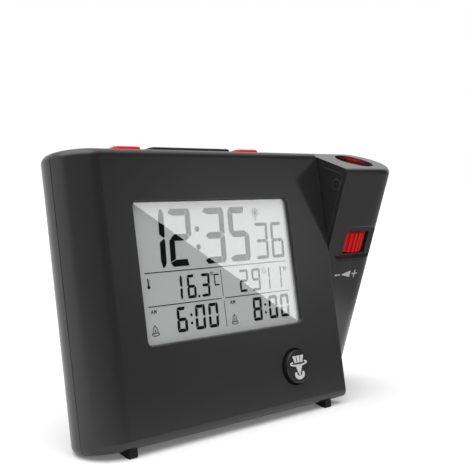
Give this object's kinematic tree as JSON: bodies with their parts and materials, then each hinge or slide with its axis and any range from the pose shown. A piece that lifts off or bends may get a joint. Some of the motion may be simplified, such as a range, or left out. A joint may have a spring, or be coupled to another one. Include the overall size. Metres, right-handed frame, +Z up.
{
  "type": "projection alarm clock",
  "caption": "Desk alarm clock with a leaning display body and a tilting projector arm with a red focus ring at its right end.",
  "frame": {"origin": "on the surface the clock stands on, below the middle of its overall width and depth with the projector arm at rest", "axes": "+X to the clock's right as seen by someone facing the display, +Y towards its back, +Z up; the display faces -Y"},
  "size_m": [0.1452, 0.0498, 0.0955],
  "materials": {
    "body_plastic": "fine matt texture, anthracite",
    "key_plastic": "smooth satin black",
    "red_plastic": "satin red",
    "clear_window": "clear, polished",
    "display_glass": "grey liquid-crystal glass",
    "white_plastic": "plain white",
    "strip_rubber": "banded silicone",
    "foot_rubber": "soft black",
    "lead_rubber": "red insulation",
    "board_laminate": "green solder resist",
    "black_plastic": "moulded black",
    "screw_steel": "zinc plated",
    "contact_metal": "nickel plated",
    "ferrite": "sintered grey",
    "coil_wire": "enamelled copper wire",
    "cell_sleeve": "plain printed sleeve",
    "lens_glass": "clear, polished",
    "led_resin": "clear red resin"
  },
  "bodies": {
    "base": {"front_housing": "body_plastic", "rear_housing": "body_plastic", "display_window": "clear_window", "display_frame": "white_plastic", "lcd_panel": "display_glass", "backlight": "white_plastic", "contact_strip": "strip_rubber", "main_board": "board_laminate", "board_parts": "black_plastic", "board_screws": "screw_steel", "key_board": "board_laminate", "key_switches": "black_plastic", "front_switch": "black_plastic", "rear_switches": "black_plastic", "slide_switch": "black_plastic", "antenna_rod": "ferrite", "antenna_coil": "coil_wire", "buzzer": "black_plastic", "dc_jack": "black_plastic", "lower_cell": "cell_sleeve", "upper_cell": "cell_sleeve", "contact_plates": "contact_metal", "contact_springs": "contact_metal", "front_foot_left": "foot_rubber", "front_foot_right": "foot_rubber", "rear_foot_left": "foot_rubber", "rear_foot_right": "foot_rubber", "housing_screws": "screw_steel", "pivot_bush": "white_plastic", "spring_washer": "screw_steel", "lead_socket": "white_plastic"},
    "arm": {"arm_housing": "body_plastic", "arm_side_cover": "body_plastic", "arm_screws": "screw_steel", "pivot_shaft": "black_plastic", "flat_washer": "screw_steel", "retaining_clip": "screw_steel", "projector_tube": "black_plastic", "projector_lcd": "display_glass", "condenser_lens": "lens_glass", "led_board": "board_laminate", "projector_led": "led_resin", "arm_lead": "lead_rubber"},
    "ring": {"focus_ring": "red_plastic"},
    "barrel": {"lens_barrel": "black_plastic", "projection_lens": "lens_glass", "lens_collar": "black_plastic"},
    "snooze": {"snooze_key": "key_plastic"},
    "alarm_one": {"alarm_one_key": "red_plastic"},
    "alarm_two": {"alarm_two_key": "red_plastic"},
    "front_button": {"projection_button": "key_plastic"},
    "mode": {"mode_key": "key_plastic"},
    "plus": {"plus_key": "key_plastic"},
    "minus": {"minus_key": "key_plastic"},
    "signal": {"signal_key": "key_plastic"},
    "slider": {"projection_switch": "key_plastic", "slide_lever": "black_plastic"},
    "door": {"battery_door": "body_plastic"}
  },
  "joints": [
    {"name": "arm_tilt", "type": "hinge", "parent": "base", "child": "arm", "pos_m": [0.03885, -0.00277, 0.05866], "axis": [1, 0, 0], "range_deg": [-27.3, 62.7]},
    {"name": "focus_turn", "type": "hinge", "parent": "arm", "child": "ring", "pos_m": [0.05685, -0.00346, 0.06263], "axis": [0, -0.2932, 0.956], "range_deg": [-120, 120]},
    {"name": "barrel_slide", "type": "slide", "parent": "arm", "child": "barrel", "axis": [0, -0.2932, 0.956], "range_m": [-0.0015, 0.0015]},
    {"name": "snooze_press", "type": "slide", "parent": "base", "child": "snooze", "axis": [0, -0.1779, -0.984], "range_m": [0, 0.0006], "stiffness_N_per_m": 400, "springref_m": -0.0005},
    {"name": "alarm_one_press", "type": "slide", "parent": "base", "child": "alarm_one", "axis": [0, -0.1779, -0.984], "range_m": [0, 0.0006], "stiffness_N_per_m": 400, "springref_m": -0.0005},
    {"name": "alarm_two_press", "type": "slide", "parent": "base", "child": "alarm_two", "axis": [0, -0.1779, -0.984], "range_m": [0, 0.0006], "stiffness_N_per_m": 400, "springref_m": -0.0005},
    {"name": "front_button_press", "type": "slide", "parent": "base", "child": "front_button", "axis": [0, 0.984, -0.1779], "range_m": [0, 0.0006], "stiffness_N_per_m": 400, "springref_m": -0.0005},
    {"name": "mode_press", "type": "slide", "parent": "base", "child": "mode", "axis": [0, -0.984, 0.1779], "range_m": [0, 0.0006], "stiffness_N_per_m": 400, "springref_m": -0.0005},
    {"name": "plus_press", "type": "slide", "parent": "base", "child": "plus", "axis": [0, -0.984, 0.1779], "range_m": [0, 0.0006], "stiffness_N_per_m": 400, "springref_m": -0.0005},
    {"name": "minus_press", "type": "slide", "parent": "base", "child": "minus", "axis": [0, -0.984, 0.1779], "range_m": [0, 0.0006], "stiffness_N_per_m": 400, "springref_m": -0.0005},
    {"name": "signal_press", "type": "slide", "parent": "base", "child": "signal", "axis": [0, -0.984, 0.1779], "range_m": [0, 0.0006], "stiffness_N_per_m": 400, "springref_m": -0.0005},
    {"name": "switch_slide", "type": "slide", "parent": "base", "child": "slider", "axis": [1, 0, 0], "range_m": [-0.003, 0.003]},
    {"name": "door_swing", "type": "hinge", "parent": "base", "child": "door", "pos_m": [-0.01815, 0.01384, 0.004], "axis": [-1, 0, 0], "range_deg": [0, 80]}
  ],
  "couplings": [
    {"joint": "barrel_slide", "follows": "focus_turn", "m_per_rad": 0.0007162}
  ]
}
